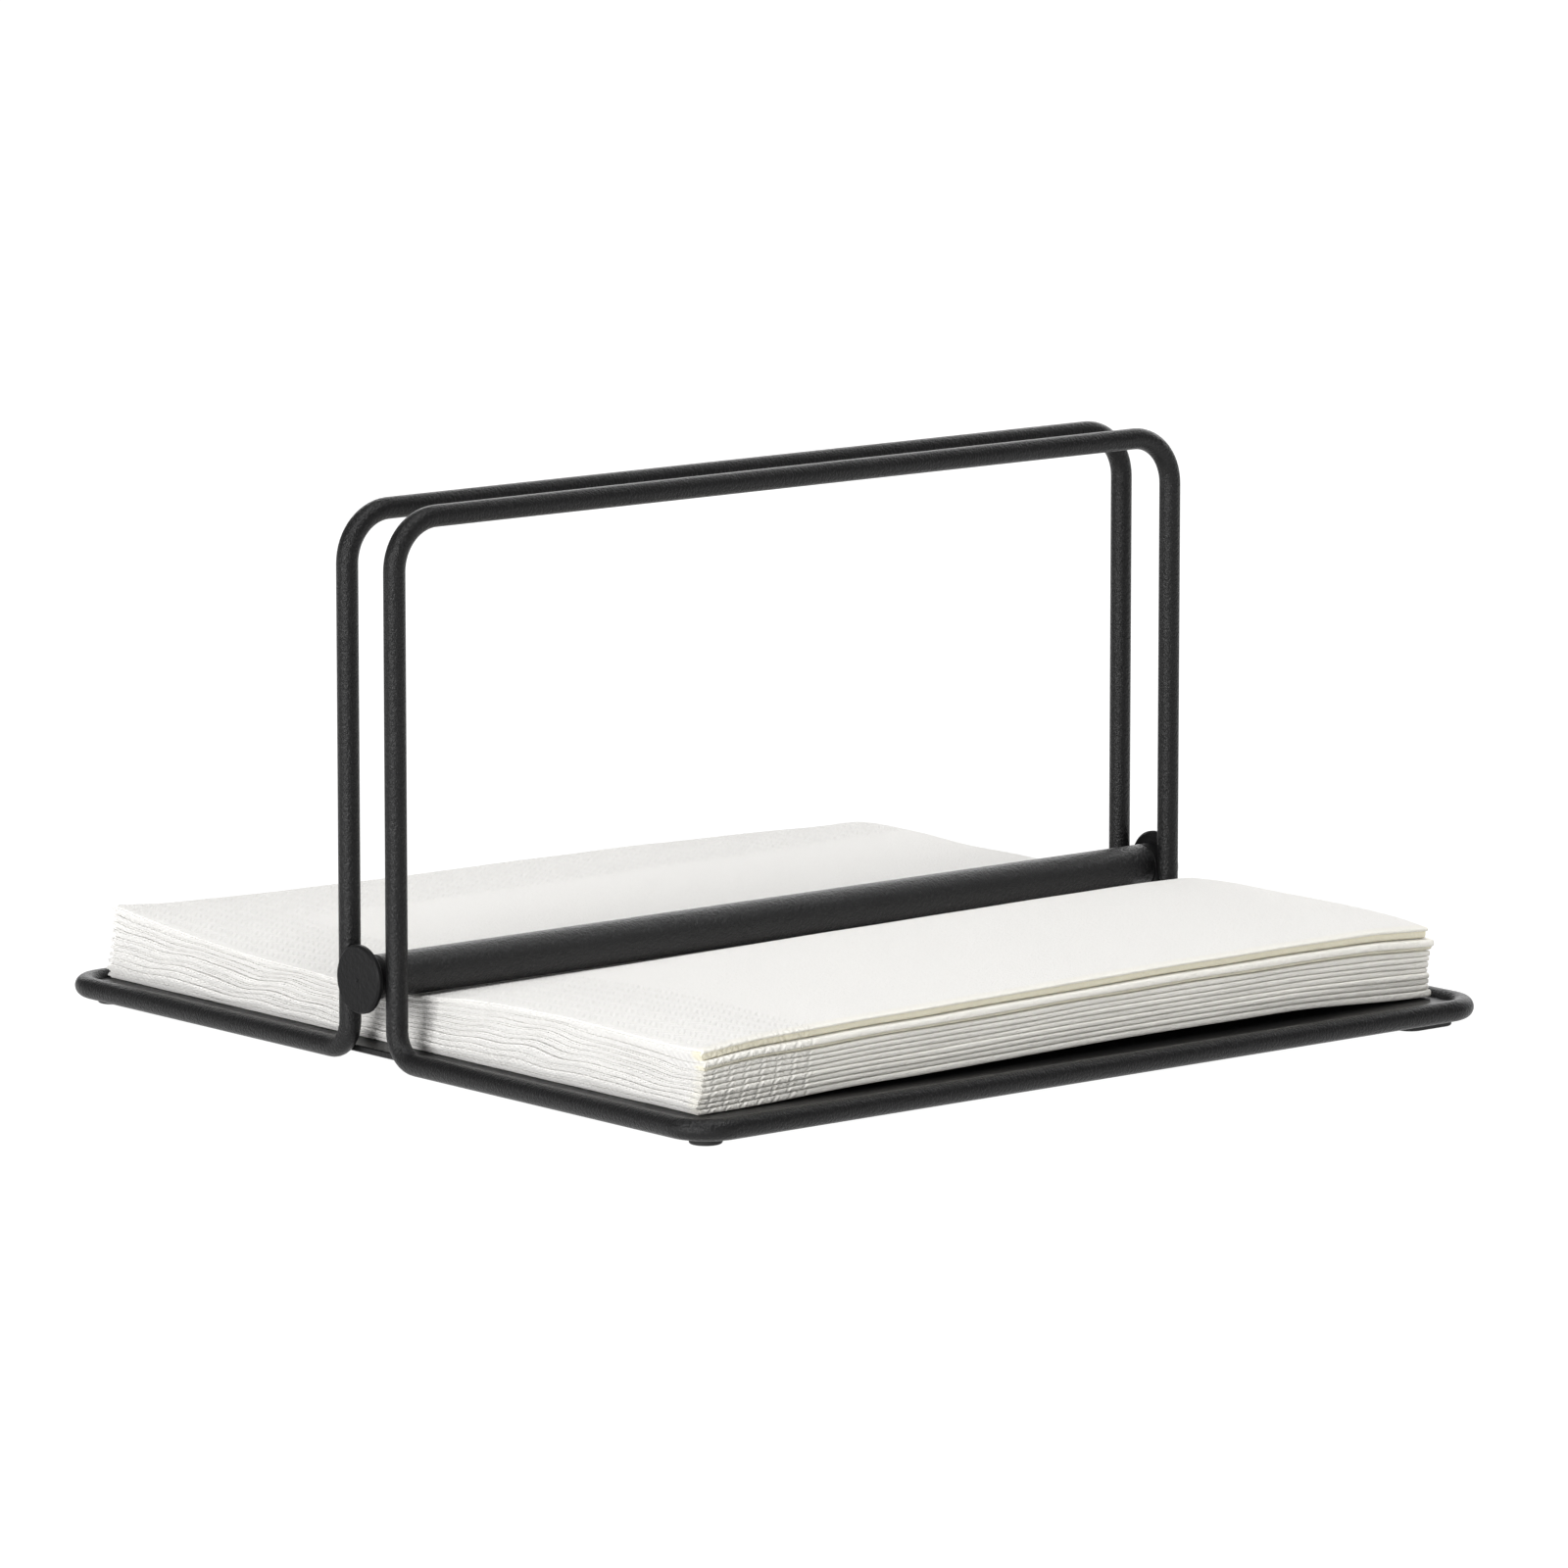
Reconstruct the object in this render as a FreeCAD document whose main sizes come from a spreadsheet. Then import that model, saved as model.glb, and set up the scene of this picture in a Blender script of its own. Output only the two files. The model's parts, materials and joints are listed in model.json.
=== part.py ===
"""Wire napkin holder: two bent-wire frames, a base plate, four pads, a loose weight bar and a napkin stack.

Origin: on the table, in the middle of the base. +Z is up, X runs along the weight bar, and the napkins
are pulled out towards -Y. All sizes are in millimetres.
"""
import FreeCAD, Part
import math
import os
import Sketcher
from FreeCAD import Rotation, Vector

DRIVING_SIZES = {
    # the two wire frames
    "wire_dia": 3.8,
    "base_outer": 180,
    "overall_height": 98,
    "hoop_spacing": 13.1,
    "hoop_corner_radius": 8.8,
    "leg_bend_radius": 5.2,
    "base_corner_radius": 6.5,
    # the sheet between the base wires, which bites into them where it is welded
    "plate_thickness": 1.2,
    "weld_bite": 0.25,
    # the pads under the plate
    "pad_height": 2.6,
    "pad_width": 5.6,
    "pad_length": 11.8,
    "pad_edge_round": 1,
    "pad_inset": 80.5,
    "straight_pad_across": 79.3,
    "straight_pad_forward": 83.2,
    # the weight bar
    "bar_dia": 7.7,
    "bar_axis_height": 16.75,
    "rod_length": 175.2,
    "joint_chamfer": 0.2,
    "disc_dia": 11.9,
    "disc_thickness": 1.3,
    "disc_gap": 0.3,
    "disc_edge": 0.4,
    "dimple_dia": 0.9,
    "dimple_depth": 0.35,
    "stud_dia": 3.9,
    "stud_bore_dia": 4,
    "stud_bore_in_rod": 9,
    "stud_bore_in_cap": 3,
    "stud_end_gap": 0.3,
    # the napkins, 33 cm sheets folded in four
    "napkin_side": 165,
    "napkin_thickness": 0.88,
    "stack_shift_across": 2,
    "stack_shift_back": 3.4,
}
NAPKIN_COUNT = 10
WIRE_VOLUME_TOLERANCE = 0.5  # how far a wire frame's volume may be from its theory, in percent

# Lengths that follow from the driving sizes, as the document's own expressions.
WIRE_RADIUS = "(sizes.wire_dia / 2)"
HALF_SPAN = "((sizes.base_outer - sizes.wire_dia) / 2)"
HALF_GAP = "(sizes.hoop_spacing / 2)"
BASE_Z = "(sizes.pad_height + sizes.plate_thickness / 2)"
TOP_Z = "(sizes.overall_height - sizes.wire_dia / 2)"
BAR_RADIUS = "(sizes.bar_dia / 2)"
ROD_END = "(sizes.rod_length / 2)"
DISC_INNER = "(sizes.base_outer / 2 + sizes.disc_gap)"
DISC_OUTER = f"({DISC_INNER} + sizes.disc_thickness)"
STUD_BORE_RADIUS = "(sizes.stud_bore_dia / 2)"

doc = FreeCAD.newDocument("napkin_holder")


def make_sheet():
    """Puts every driving size in a cell with its own alias."""
    sheet = doc.addObject("Spreadsheet::Sheet", "sizes")
    for row, (alias, value) in enumerate(DRIVING_SIZES.items(), start=1):
        sheet.set(f"A{row}", alias)
        sheet.set(f"B{row}", str(value))
        sheet.setAlias(f"B{row}", alias)
    doc.recompute()


def place(piece, x="0", y="0", z="0", rotation=None):
    """Turns a piece, then binds its position to three expressions."""
    if rotation is not None:
        piece.Placement = FreeCAD.Placement(Vector(), rotation)
    for axis, expression in zip("xyz", (x, y, z)):
        piece.setExpression(f"Placement.Base.{axis}", expression)


def straight(name, length, direction, x, y, z):
    """A straight run of wire that starts at (x, y, z) and goes along a direction."""
    run = doc.addObject("Part::Cylinder", name)
    run.setExpression("Radius", WIRE_RADIUS)
    run.setExpression("Height", length)
    place(run, x, y, z, Rotation(Vector(0, 0, 1), Vector(*direction)))
    return run


def bend(name, radius, start, end, x, y, z):
    """A quarter bend of wire about (x, y, z), from one direction off its centre to another."""
    turn = doc.addObject("Part::Torus", name)
    turn.setExpression("Radius1", radius)
    turn.setExpression("Radius2", WIRE_RADIUS)
    turn.Angle3 = 90
    first, second = Vector(*start), Vector(*end)
    place(turn, x, y, z, Rotation(first, second, first.cross(second), "XYZ"))
    return turn


def make_front_frame():
    """The front frame: a hoop whose legs bend forward into the side runs and the front run of the base."""
    hoop_radius = "sizes.hoop_corner_radius"
    leg_radius = "sizes.leg_bend_radius"
    corner_radius = "sizes.base_corner_radius"
    across = f"2 * ({HALF_SPAN} - {hoop_radius})"
    upright = f"{TOP_Z} - {hoop_radius} - {BASE_Z} - {leg_radius}"
    forward = f"{HALF_SPAN} - {corner_radius} - {HALF_GAP} - {leg_radius}"
    front = f"2 * ({HALF_SPAN} - {corner_radius})"
    pieces = [
        straight("hoop_top", across, (1, 0, 0), f"-({HALF_SPAN} - {hoop_radius})", f"-{HALF_GAP}", TOP_Z),
        straight("front_run", front, (1, 0, 0), f"-({HALF_SPAN} - {corner_radius})", f"-{HALF_SPAN}", BASE_Z),
    ]
    for side, hand in ((-1, "left"), (1, "right")):
        wire_x = f"{side} * {HALF_SPAN}"
        hoop_x = f"{side} * ({HALF_SPAN} - {hoop_radius})"
        corner_x = f"{side} * ({HALF_SPAN} - {corner_radius})"
        bend_y = f"-({HALF_GAP} + {leg_radius})"
        pieces += [
            bend(f"hoop_corner_{hand}", hoop_radius, (side, 0, 0), (0, 0, 1),
                 hoop_x, f"-{HALF_GAP}", f"{TOP_Z} - {hoop_radius}"),
            straight(f"upright_{hand}", upright, (0, 0, 1),
                     wire_x, f"-{HALF_GAP}", f"{BASE_Z} + {leg_radius}"),
            bend(f"leg_bend_{hand}", leg_radius, (0, 1, 0), (0, 0, -1),
                 wire_x, bend_y, f"{BASE_Z} + {leg_radius}"),
            straight(f"side_run_{hand}", forward, (0, -1, 0), wire_x, bend_y, BASE_Z),
            bend(f"base_corner_{hand}", corner_radius, (side, 0, 0), (0, -1, 0),
                 corner_x, f"-({HALF_SPAN} - {corner_radius})", BASE_Z),
        ]
    frame = doc.addObject("Part::MultiFuse", "front_frame")
    frame.Shapes = pieces
    frame.Refine = True
    return frame


def make_rear_frame(front_frame):
    """The rear frame is the front one turned to face the other way."""
    frame = doc.addObject("Part::Mirroring", "rear_frame")
    frame.Source = front_frame
    frame.Base = Vector(0, 0, 0)
    frame.Normal = Vector(0, 1, 0)
    return frame


def make_body(name):
    return doc.addObject("PartDesign::Body", name)


def make_sketch(body, role):
    """An empty sketch on one of a body's own origin planes."""
    sketch = body.newObject("Sketcher::SketchObject", f"{body.Name}_{role}")
    plane = next(o for o in body.Origin.OriginFeatures if o.Role == role)
    sketch.AttachmentSupport = [(plane, "")]
    sketch.MapMode = "FlatFace"
    return sketch


def draw_polygon(sketch, corners):
    """A closed outline whose corners are pairs of expressions, each corner bound to the sheet."""
    doc.recompute()
    points = [Vector(*(sketch.evalExpression(c) for c in corner), 0) for corner in corners]
    for start, end in zip(points, points[1:] + points[:1]):
        sketch.addGeometry(Part.LineSegment(start, end))
    for i in range(len(points)):
        sketch.addConstraint(Sketcher.Constraint("Coincident", i, 2, (i + 1) % len(points), 1))
    for i, (point, corner) in enumerate(zip(points, corners)):
        for kind, value, expression in zip(("DistanceX", "DistanceY"), point, corner):
            if expression == "0":
                axis = -2 if kind == "DistanceX" else -1
                sketch.addConstraint(Sketcher.Constraint("PointOnObject", i, 1, axis))
            else:
                number = sketch.addConstraint(Sketcher.Constraint(kind, -1, 1, i, 1, value))
                sketch.setExpression(f"Constraints[{number}]", expression)


def draw_oblong(sketch, length, width):
    """A slot outline, centred on the origin along X."""
    doc.recompute()
    radius = sketch.evalExpression(f"{width} / 2")
    centre = sketch.evalExpression(f"({length} - {width}) / 2")
    normal = Vector(0, 0, 1)
    right = Part.Circle(Vector(centre, 0, 0), normal, radius)
    left = Part.Circle(Vector(-centre, 0, 0), normal, radius)
    sketch.addGeometry(Part.LineSegment(Vector(-centre, radius, 0), Vector(centre, radius, 0)))
    sketch.addGeometry(Part.ArcOfCircle(right, -math.pi / 2, math.pi / 2))
    sketch.addGeometry(Part.LineSegment(Vector(centre, -radius, 0), Vector(-centre, -radius, 0)))
    sketch.addGeometry(Part.ArcOfCircle(left, math.pi / 2, 3 * math.pi / 2))
    for first, first_end, second, second_end in ((0, 2, 1, 2), (1, 1, 2, 1), (2, 2, 3, 2), (3, 1, 0, 1)):
        sketch.addConstraint(Sketcher.Constraint("Tangent", first, first_end, second, second_end))
    sketch.addConstraint(Sketcher.Constraint("Equal", 1, 3))
    for arc in (1, 3):
        sketch.addConstraint(Sketcher.Constraint("PointOnObject", arc, 3, -1))
    bound = (
        (Sketcher.Constraint("DistanceX", -1, 1, 1, 3, centre), f"({length} - {width}) / 2"),
        (Sketcher.Constraint("DistanceX", 3, 3, -1, 1, centre), f"({length} - {width}) / 2"),
        (Sketcher.Constraint("Radius", 1, radius), f"{width} / 2"),
    )
    for constraint, expression in bound:
        number = sketch.addConstraint(constraint)
        sketch.setExpression(f"Constraints[{number}]", expression)


def add_pad(body, sketch, height):
    pad = body.newObject("PartDesign::Pad", f"{body.Name}_pad")
    pad.Profile = sketch
    pad.setExpression("Length", height)
    doc.recompute()
    return pad


def add_fillet(body, base, radius, chosen):
    """Rounds the edges of a feature that a test picks out."""
    edges = [f"Edge{i}" for i, edge in enumerate(base.Shape.Edges, start=1) if chosen(edge)]
    fillet = body.newObject("PartDesign::Fillet", f"{body.Name}_fillet")
    fillet.Base = (base, edges)
    fillet.setExpression("Radius", radius)
    doc.recompute()
    return fillet


def make_base_plate():
    """A square sheet whose rounded corners follow the inside of the base wires."""
    body = make_body("base_plate")
    edge = f"({HALF_SPAN} - {WIRE_RADIUS} + sizes.weld_bite)"
    sketch = make_sketch(body, "XY_Plane")
    draw_polygon(sketch, [(f"-{edge}", f"-{edge}"), (edge, f"-{edge}"), (edge, edge), (f"-{edge}", edge)])
    pad = add_pad(body, sketch, "sizes.plate_thickness")
    corner = f"sizes.base_corner_radius - {WIRE_RADIUS} + sizes.weld_bite"
    add_fillet(body, pad, corner, lambda e: abs(e.Vertexes[0].Z - e.Vertexes[-1].Z) > 0.1)
    place(body, z="sizes.pad_height")


def make_foot(name, x, y, turn):
    """An oblong pad whose lower edge is rounded, stuck under one corner of the plate."""
    body = make_body(name)
    sketch = make_sketch(body, "XY_Plane")
    draw_oblong(sketch, "sizes.pad_length", "sizes.pad_width")
    pad = add_pad(body, sketch, "sizes.pad_height")
    add_fillet(body, pad, "sizes.pad_edge_round", lambda e: all(abs(v.Z) < 0.01 for v in e.Vertexes))
    place(body, x, y, "0", Rotation(Vector(0, 0, 1), turn))


def make_feet():
    """Three pads point at their corners, and the one at the front right lies along the front run."""
    inset = "sizes.pad_inset"
    make_foot("foot_front_left", f"-{inset}", f"-{inset}", 45)
    make_foot("foot_front_right", "sizes.straight_pad_across", "-sizes.straight_pad_forward", 0)
    make_foot("foot_rear_left", f"-{inset}", inset, -45)
    make_foot("foot_rear_right", inset, inset, 45)


def turned(name, corners):
    """A piece turned about the weight bar's axis, from (distance along it, radius) corners."""
    body = make_body(name)
    sketch = make_sketch(body, "XZ_Plane")
    draw_polygon(sketch, corners)
    spin = body.newObject("PartDesign::Revolution", f"{name}_turning")
    spin.Profile = sketch
    spin.ReferenceAxis = (sketch, ["H_Axis"])
    spin.Angle = 360
    doc.recompute()
    place(body, z="sizes.bar_axis_height")


def mirrored(corners, side):
    return [(f"{side} * ({along})", radius) for along, radius in corners]


def make_weight_bar():
    """The rod, its two end caps and the studs that hold them together."""
    rod_bore = f"({ROD_END} - sizes.stud_bore_in_rod)"
    cap_bore = f"({ROD_END} + sizes.stud_bore_in_cap)"
    rod_half = [
        (rod_bore, "0"),
        (rod_bore, STUD_BORE_RADIUS),
        (ROD_END, STUD_BORE_RADIUS),
        (ROD_END, f"{BAR_RADIUS} - sizes.joint_chamfer"),
        (f"{ROD_END} - sizes.joint_chamfer", BAR_RADIUS),
    ]
    turned("weight_rod", mirrored(rod_half, 1) + mirrored(rod_half, -1)[::-1])
    cap = [
        (cap_bore, "0"),
        (cap_bore, STUD_BORE_RADIUS),
        (ROD_END, STUD_BORE_RADIUS),
        (ROD_END, f"{BAR_RADIUS} - sizes.joint_chamfer"),
        (f"{ROD_END} + sizes.joint_chamfer", BAR_RADIUS),
        (DISC_INNER, BAR_RADIUS),
        (DISC_INNER, "sizes.disc_dia / 2 - sizes.disc_edge"),
        (f"{DISC_INNER} + sizes.disc_edge", "sizes.disc_dia / 2"),
        (f"{DISC_OUTER} - sizes.disc_edge", "sizes.disc_dia / 2"),
        (DISC_OUTER, "sizes.disc_dia / 2 - sizes.disc_edge"),
        (DISC_OUTER, "sizes.dimple_dia / 2"),
        (f"{DISC_OUTER} - sizes.dimple_depth", "0"),
    ]
    stud = [
        (f"{rod_bore} + sizes.stud_end_gap", "0"),
        (f"{rod_bore} + sizes.stud_end_gap", "sizes.stud_dia / 2"),
        (f"{cap_bore} - sizes.stud_end_gap", "sizes.stud_dia / 2"),
        (f"{cap_bore} - sizes.stud_end_gap", "0"),
    ]
    for side, hand in ((-1, "left"), (1, "right")):
        turned(f"end_cap_{hand}", mirrored(cap, side))
        turned(f"stud_{hand}", mirrored(stud, side))


def make_napkins():
    """The pressed stack, one slab for each folded napkin, from the plate up."""
    for i in range(NAPKIN_COUNT):
        napkin = doc.addObject("Part::Box", f"napkin_{i + 1}")
        napkin.setExpression("Length", "sizes.napkin_side")
        napkin.setExpression("Width", "sizes.napkin_side")
        napkin.setExpression("Height", "sizes.napkin_thickness")
        place(
            napkin,
            "sizes.stack_shift_across - sizes.napkin_side / 2",
            "sizes.stack_shift_back - sizes.napkin_side / 2",
            f"sizes.pad_height + sizes.plate_thickness + {i} * sizes.napkin_thickness",
        )


def check_wire(frame):
    """Compares a wire frame's volume with its section times the length of its centre line."""
    size = DRIVING_SIZES
    half_span = (size["base_outer"] - size["wire_dia"]) / 2
    rise = size["overall_height"] - size["wire_dia"] / 2 - size["pad_height"] - size["plate_thickness"] / 2
    reach = half_span - size["hoop_spacing"] / 2
    corners = size["hoop_corner_radius"] + size["leg_bend_radius"] + size["base_corner_radius"]
    length = 4 * half_span + 2 * rise + 2 * reach - 2 * (2 - math.pi / 2) * corners
    theory = length * math.pi * size["wire_dia"] ** 2 / 4
    error = 100 * abs(frame.Shape.Volume / theory - 1)
    print(f"{frame.Label}: wire {length:.1f} mm long, volume off by {error:.3f} %")
    if error > WIRE_VOLUME_TOLERANCE:
        raise RuntimeError(f"{frame.Label} isn't one clean wire")


def sub_parts():
    """Every object that is a piece of its own."""
    kinds = ("PartDesign::Body", "Part::MultiFuse", "Part::Mirroring", "Part::Box")
    return [o for o in doc.Objects if o.TypeId in kinds]


def check_and_export():
    for item in doc.Objects:
        if "Invalid" in item.State or "Error" in item.State:
            raise RuntimeError(f"{item.Label} failed: {item.State}")
    os.makedirs("parts", exist_ok=True)
    for item in sub_parts():
        shape = item.Shape
        if shape.isNull() or not shape.isValid() or len(shape.Solids) != 1:
            raise RuntimeError(f"{item.Label} isn't one valid solid")
        shape.exportStep(f"parts/{item.Label}.step")
        box = shape.BoundBox
        print(f"{item.Label}: {shape.Volume:.0f} mm3, x {box.XMin:.2f}..{box.XMax:.2f}, "
              f"y {box.YMin:.2f}..{box.YMax:.2f}, z {box.ZMin:.2f}..{box.ZMax:.2f}")


make_sheet()
front_frame = make_front_frame()
make_rear_frame(front_frame)
make_base_plate()
make_feet()
make_weight_bar()
make_napkins()
doc.recompute()
check_wire(front_frame)
check_and_export()
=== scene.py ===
# %% [markdown]
# # A wire napkin dispenser
# This notebook dresses a finished engineering model of a table napkin dispenser: two bent
# wire hoops on a flat plate, a loose weight bar between them, and a stack of paper napkins.
# The engineering model fixes every size and every joint. Here each piece gets its real
# surface: powder coated steel, and tissue paper that is really folded twice.

# %% Load the frame
import bmesh
import bpy
import json
import math
import numpy as np
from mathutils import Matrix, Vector


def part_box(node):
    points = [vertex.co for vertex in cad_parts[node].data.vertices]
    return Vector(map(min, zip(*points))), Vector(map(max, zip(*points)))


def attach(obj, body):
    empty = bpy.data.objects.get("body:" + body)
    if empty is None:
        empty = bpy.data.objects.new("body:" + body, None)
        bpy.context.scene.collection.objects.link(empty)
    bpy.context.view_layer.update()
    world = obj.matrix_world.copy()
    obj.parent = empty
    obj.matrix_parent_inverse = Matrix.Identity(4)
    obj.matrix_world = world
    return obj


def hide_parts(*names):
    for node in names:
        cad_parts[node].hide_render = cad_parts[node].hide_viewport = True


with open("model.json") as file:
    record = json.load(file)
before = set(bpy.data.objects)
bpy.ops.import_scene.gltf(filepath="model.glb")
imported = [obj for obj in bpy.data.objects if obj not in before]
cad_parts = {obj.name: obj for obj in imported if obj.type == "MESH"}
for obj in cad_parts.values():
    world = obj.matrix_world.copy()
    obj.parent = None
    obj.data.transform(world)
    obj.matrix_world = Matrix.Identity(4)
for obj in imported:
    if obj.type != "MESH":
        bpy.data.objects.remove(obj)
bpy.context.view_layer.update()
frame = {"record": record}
MM = 0.001

# %% [markdown]
# ## The camera
# A product view of a low object is taken from far away with a long lens, so that its
# upright wires stay parallel. The camera stands about 1.8 m off, to the left of the front,
# and looks 9 degrees down. Blender's camera looks along its own -Z, so the direction is
# turned into a rotation with to_track_quat.

# %% Camera
CAMERA_PLACE = Vector((-1.11946, -1.34560, 0.32852))
CAMERA_LOOKS = Vector((0.63213, 0.75771, -0.16214))
LENS = 231.79

camera_data = bpy.data.cameras.new("camera")
camera_data.lens = LENS
camera_data.sensor_width = 36.0
camera = bpy.data.objects.new("camera", camera_data)
camera.location = CAMERA_PLACE
camera.rotation_euler = CAMERA_LOOKS.to_track_quat("-Z", "Y").to_euler()
bpy.context.scene.collection.objects.link(camera)
bpy.context.scene.camera = camera
print("camera distance in metres:", round(CAMERA_PLACE.length, 3))

# %% [markdown]
# ## The studio
# White paper on white needs light that wraps round it. The floor gives off its own light, as
# a light table does, so it stays white and shows no shadow, and it lights the object from
# below. A dim white surround fills in the rest. Four soft lamps do the shaping: one overhead
# for the top of the stack, a strong one low on the left for the cut edges and for the bright
# line down each wire, a weak one in front for the folds, and a wide one behind on the right
# for the rims of the wires and the bar.


# %% A helper for node trees
def node(tree, kind, at=(0, 0), **settings):
    """Adds one node. A setting named after a socket fills that socket, others are properties."""
    made = tree.nodes.new(kind)
    made.location = at
    for name, value in settings.items():
        socket = made.inputs.get(name.replace("_", " ").title()) or made.inputs.get(name)
        if socket is not None and not hasattr(made, name):
            socket.default_value = value
        else:
            setattr(made, name, value)
    return made


def new_material(name):
    """An empty material with its Principled shader, and its tree."""
    material = bpy.data.materials.new(name)
    material.use_nodes = True
    tree = material.node_tree
    return material, tree, tree.nodes["Principled BSDF"]


# %% Floor, surround and lamps
FLOOR_RADIUS = 6.0
FLOOR_SIDES = 96
FLOOR_TONE = 0.05
FLOOR_ROUGHNESS = 0.9
FLOOR_GLOW = 1.0
SURROUND = 0.30
LAMPS_FACE = Vector((0, 0, 0.04))

floor_mesh = bpy.data.meshes.new("studio_floor")
rim = [2 * math.pi * k / FLOOR_SIDES for k in range(FLOOR_SIDES)]
floor_points = [(FLOOR_RADIUS * math.cos(a), FLOOR_RADIUS * math.sin(a), 0) for a in rim]
floor_mesh.from_pydata(floor_points, [], [range(FLOOR_SIDES)])
floor = bpy.data.objects.new("studio_floor", floor_mesh)
bpy.context.scene.collection.objects.link(floor)
floor_paint, _, floor_shader = new_material("studio_white")
floor_shader.inputs["Base Color"].default_value = (FLOOR_TONE, FLOOR_TONE, FLOOR_TONE, 1)
floor_shader.inputs["Roughness"].default_value = FLOOR_ROUGHNESS
floor_shader.inputs["Emission Color"].default_value = (1, 1, 1, 1)
floor_shader.inputs["Emission Strength"].default_value = FLOOR_GLOW
floor_mesh.materials.append(floor_paint)

world = bpy.data.worlds.new("studio")
bpy.context.scene.world = world
world.use_nodes = True
world.node_tree.nodes["Background"].inputs["Color"].default_value = (1, 1, 1, 1)
world.node_tree.nodes["Background"].inputs["Strength"].default_value = SURROUND


def soft_lamp(name, place, size, power):
    """An area lamp that faces the object: size is its width and height, power is in watts."""
    data = bpy.data.lights.new(name, "AREA")
    data.shape = "RECTANGLE"
    data.size, data.size_y = size
    data.energy = power
    lamp = bpy.data.objects.new(name, data)
    lamp.location = place
    lamp.rotation_euler = (LAMPS_FACE - Vector(place)).to_track_quat("-Z", "Y").to_euler()
    bpy.context.scene.collection.objects.link(lamp)


soft_lamp("overhead_lamp", (-0.15, -0.45, 1.8), (1.1, 0.8), 23.5)
soft_lamp("left_lamp", (-1.75, -0.50, 0.42), (0.8, 0.8), 30)
soft_lamp("front_lamp", (-0.90, -1.90, 0.50), (1.0, 0.6), 3)
soft_lamp("back_lamp", (1.50, 1.20, 0.72), (2.6, 1.0), 19)
bpy.context.scene.view_settings.view_transform = "Standard"

# %% [markdown]
# ## Powder coat
# The wires, the plate and the bar wear a black powder coat. Powder melts into a skin that is
# satin, not glossy, with a fine leathery grain of half a millimetre to 0.8 mm. The grain
# mostly shows where a highlight fades, so it is a bump and a little roughness, and the colour
# only drifts slowly over centimetres. The bar is the shiniest, and the discs on its ends are
# turned smoother and duller. Noise on Object coordinates needs no unwrapping and stays with
# the piece when it moves.


# %% Powder coat material
COLOUR_DRIFT = 60.0
ROUGHNESS_SPREAD = 0.08


def powder_coat(name, grain, depth, roughness, tone, shine):
    """A satin black coat: grain is the size of its bumps in metres, depth their height."""
    material, tree, shader = new_material(name)
    shader.inputs["Specular IOR Level"].default_value = shine
    place = node(tree, "ShaderNodeTexCoord", (-1100, 0))
    fine = node(tree, "ShaderNodeTexNoise", (-850, -150),
                scale=1 / grain, detail=3.0, roughness=0.6)
    broad = node(tree, "ShaderNodeTexNoise", (-850, 200), scale=COLOUR_DRIFT, detail=2.0)
    tree.links.new(place.outputs["Object"], fine.inputs["Vector"])
    tree.links.new(place.outputs["Object"], broad.inputs["Vector"])
    shade = node(tree, "ShaderNodeValToRGB", (-550, 250))
    shade.color_ramp.elements[0].position = 0.3
    shade.color_ramp.elements[0].color = (tone * 0.8, tone * 0.8, tone * 0.84, 1)
    shade.color_ramp.elements[1].position = 0.75
    shade.color_ramp.elements[1].color = (tone * 1.15, tone * 1.15, tone * 1.2, 1)
    tree.links.new(broad.outputs["Fac"], shade.inputs["Fac"])
    tree.links.new(shade.outputs["Color"], shader.inputs["Base Color"])
    dull = node(tree, "ShaderNodeMapRange", (-550, 0))
    dull.inputs["To Min"].default_value = roughness - ROUGHNESS_SPREAD
    dull.inputs["To Max"].default_value = roughness + ROUGHNESS_SPREAD
    tree.links.new(fine.outputs["Fac"], dull.inputs["Value"])
    tree.links.new(dull.outputs["Result"], shader.inputs["Roughness"])
    bump = node(tree, "ShaderNodeBump", (-250, -200), strength=1.0, distance=depth)
    tree.links.new(fine.outputs["Fac"], bump.inputs["Height"])
    tree.links.new(bump.outputs["Normal"], shader.inputs["Normal"])
    return material


wire_coat = powder_coat("wire_coat", grain=0.0005, depth=0.00024,
                        roughness=0.33, tone=0.005, shine=0.26)
bar_coat = powder_coat("bar_coat", grain=0.0006, depth=0.00032,
                       roughness=0.38, tone=0.007, shine=0.46)
disc_coat = powder_coat("disc_coat", grain=0.0008, depth=0.00014,
                        roughness=0.45, tone=0.006, shine=0.13)
plate_coat = powder_coat("plate_coat", grain=0.0008, depth=0.00012,
                         roughness=0.34, tone=0.005, shine=0.25)
print("coats:", wire_coat.name, bar_coat.name, disc_coat.name, plate_coat.name)


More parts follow.
